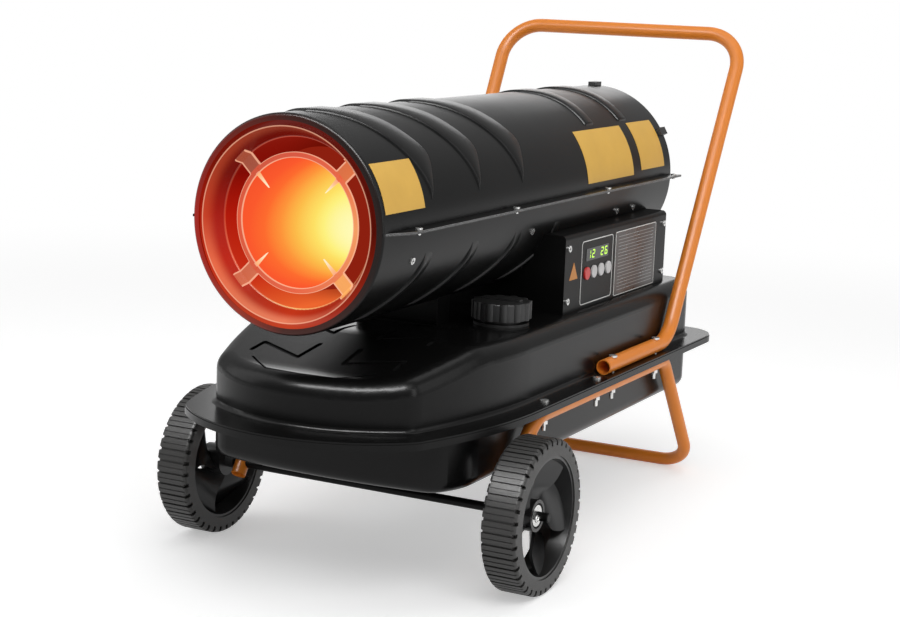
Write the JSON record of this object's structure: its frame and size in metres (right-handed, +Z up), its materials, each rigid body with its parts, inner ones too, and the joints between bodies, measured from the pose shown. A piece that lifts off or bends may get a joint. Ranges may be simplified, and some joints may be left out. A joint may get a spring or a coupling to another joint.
{
  "type": "forced air heater",
  "caption": "Wheeled forced-air heater: ribbed cylindrical barrel over a fuel tank, side control box, two spoked wheels, bent tube legs and a tall bail handle.",
  "frame": {"origin": "on the floor, at the middle of the footprint", "axes": "+Z up, -Y the way the hot air leaves, +Y the handle's end, +X the control panel's side"},
  "size_m": [0.538, 1.0815, 0.707],
  "materials": {
    "barrel_enamel": "gloss",
    "dark_paint": "satin",
    "heated_steel": "glowing from the flame",
    "orange_paint": "gloss",
    "bare_steel": "satin",
    "hot_steel": "heat-tinted",
    "zinc_screw": "bright",
    "tyre": "matt",
    "rim": "gloss",
    "black_plastic": "satin",
    "rubber": "matt",
    "brass": "bright",
    "cast_aluminium": "cast",
    "copper_line": "bright",
    "display": "clear",
    "board": "satin",
    "red_button": "gloss",
    "white_button": "gloss"
  },
  "bodies": {
    "base": {"tank_upper_pan": "dark_paint", "tank_lower_pan": "dark_paint", "filler_neck": "bare_steel", "fuel_strainer": "bare_steel", "drain_plug": "bare_steel", "upper_shell": "barrel_enamel", "lower_shell": "barrel_enamel", "outlet_cone": "heated_steel", "heat_liner": "heated_steel", "combustion_chamber": "hot_steel", "chamber_front_ring": "hot_steel", "burner_head": "hot_steel", "burner_bracket": "bare_steel", "nozzle": "brass", "igniter": "white_button", "flame_sensor": "black_plastic", "motor": "cast_aluminium", "motor_bracket": "bare_steel", "air_pump": "cast_aluminium", "air_filter_cover": "black_plastic", "rear_guard": "dark_paint", "guard_clips": "black_plastic", "air_line": "copper_line", "fuel_line": "copper_line", "control_box": "dark_paint", "control_panel": "dark_paint", "display_window": "display", "circuit_board": "board", "ignition_transformer": "black_plastic", "cord_gland": "black_plastic", "front_bracket": "dark_paint", "panel_screws": "zinc_screw", "seam_screws": "zinc_screw", "shell_screws": "zinc_screw", "leg_frame": "orange_paint", "handle": "orange_paint", "frame_bolts": "zinc_screw", "frame_nuts": "zinc_screw", "axle": "dark_paint", "axle_washers": "zinc_screw", "axle_spacers": "black_plastic", "cotter_pins": "zinc_screw"},
    "wheel_right": {"tyre_right": "tyre", "rim_right": "rim"},
    "wheel_left": {"tyre_left": "tyre", "rim_left": "rim"},
    "rotor": {"fan": "cast_aluminium", "fan_shaft": "bare_steel", "pump_rotor": "bare_steel"},
    "cap_seal": {"cap_gasket": "rubber"},
    "cap": {"fuel_cap": "black_plastic"},
    "power_key": {"power_button": "red_button"},
    "up_key": {"up_button": "white_button"},
    "down_key": {"down_button": "white_button"},
    "mode_key": {"mode_button": "white_button"}
  },
  "joints": [
    {"name": "wheel_right_spin", "type": "hinge", "parent": "base", "child": "wheel_right", "pos_m": [0.245, -0.28975, 0.1016], "axis": [1, 0, 0], "continuous": true},
    {"name": "wheel_left_spin", "type": "hinge", "parent": "base", "child": "wheel_left", "pos_m": [-0.245, -0.28975, 0.1016], "axis": [1, 0, 0], "continuous": true},
    {"name": "fan_spin", "type": "hinge", "parent": "base", "child": "rotor", "pos_m": [0, 0.16525, 0.4725], "axis": [0, 1, 0], "continuous": true},
    {"name": "cap_lift", "type": "slide", "parent": "base", "child": "cap_seal", "axis": [0, 0, 1], "range_m": [0, 0.012]},
    {"name": "cap_turn", "type": "hinge", "parent": "cap_seal", "child": "cap", "pos_m": [0.118, -0.13975, 0.333], "axis": [0, 0, 1], "range_deg": [0, 720]},
    {"name": "power_press", "type": "slide", "parent": "base", "child": "power_key", "axis": [-1, 0, 0], "range_m": [0, 0.001], "stiffness_N_per_m": 500},
    {"name": "up_press", "type": "slide", "parent": "base", "child": "up_key", "axis": [-1, 0, 0], "range_m": [0, 0.001], "stiffness_N_per_m": 500},
    {"name": "down_press", "type": "slide", "parent": "base", "child": "down_key", "axis": [-1, 0, 0], "range_m": [0, 0.001], "stiffness_N_per_m": 500},
    {"name": "mode_press", "type": "slide", "parent": "base", "child": "mode_key", "axis": [-1, 0, 0], "range_m": [0, 0.001], "stiffness_N_per_m": 500}
  ],
  "couplings": [
    {"joint": "cap_lift", "follows": "cap_turn", "m_per_rad": 0.00095493}
  ]
}
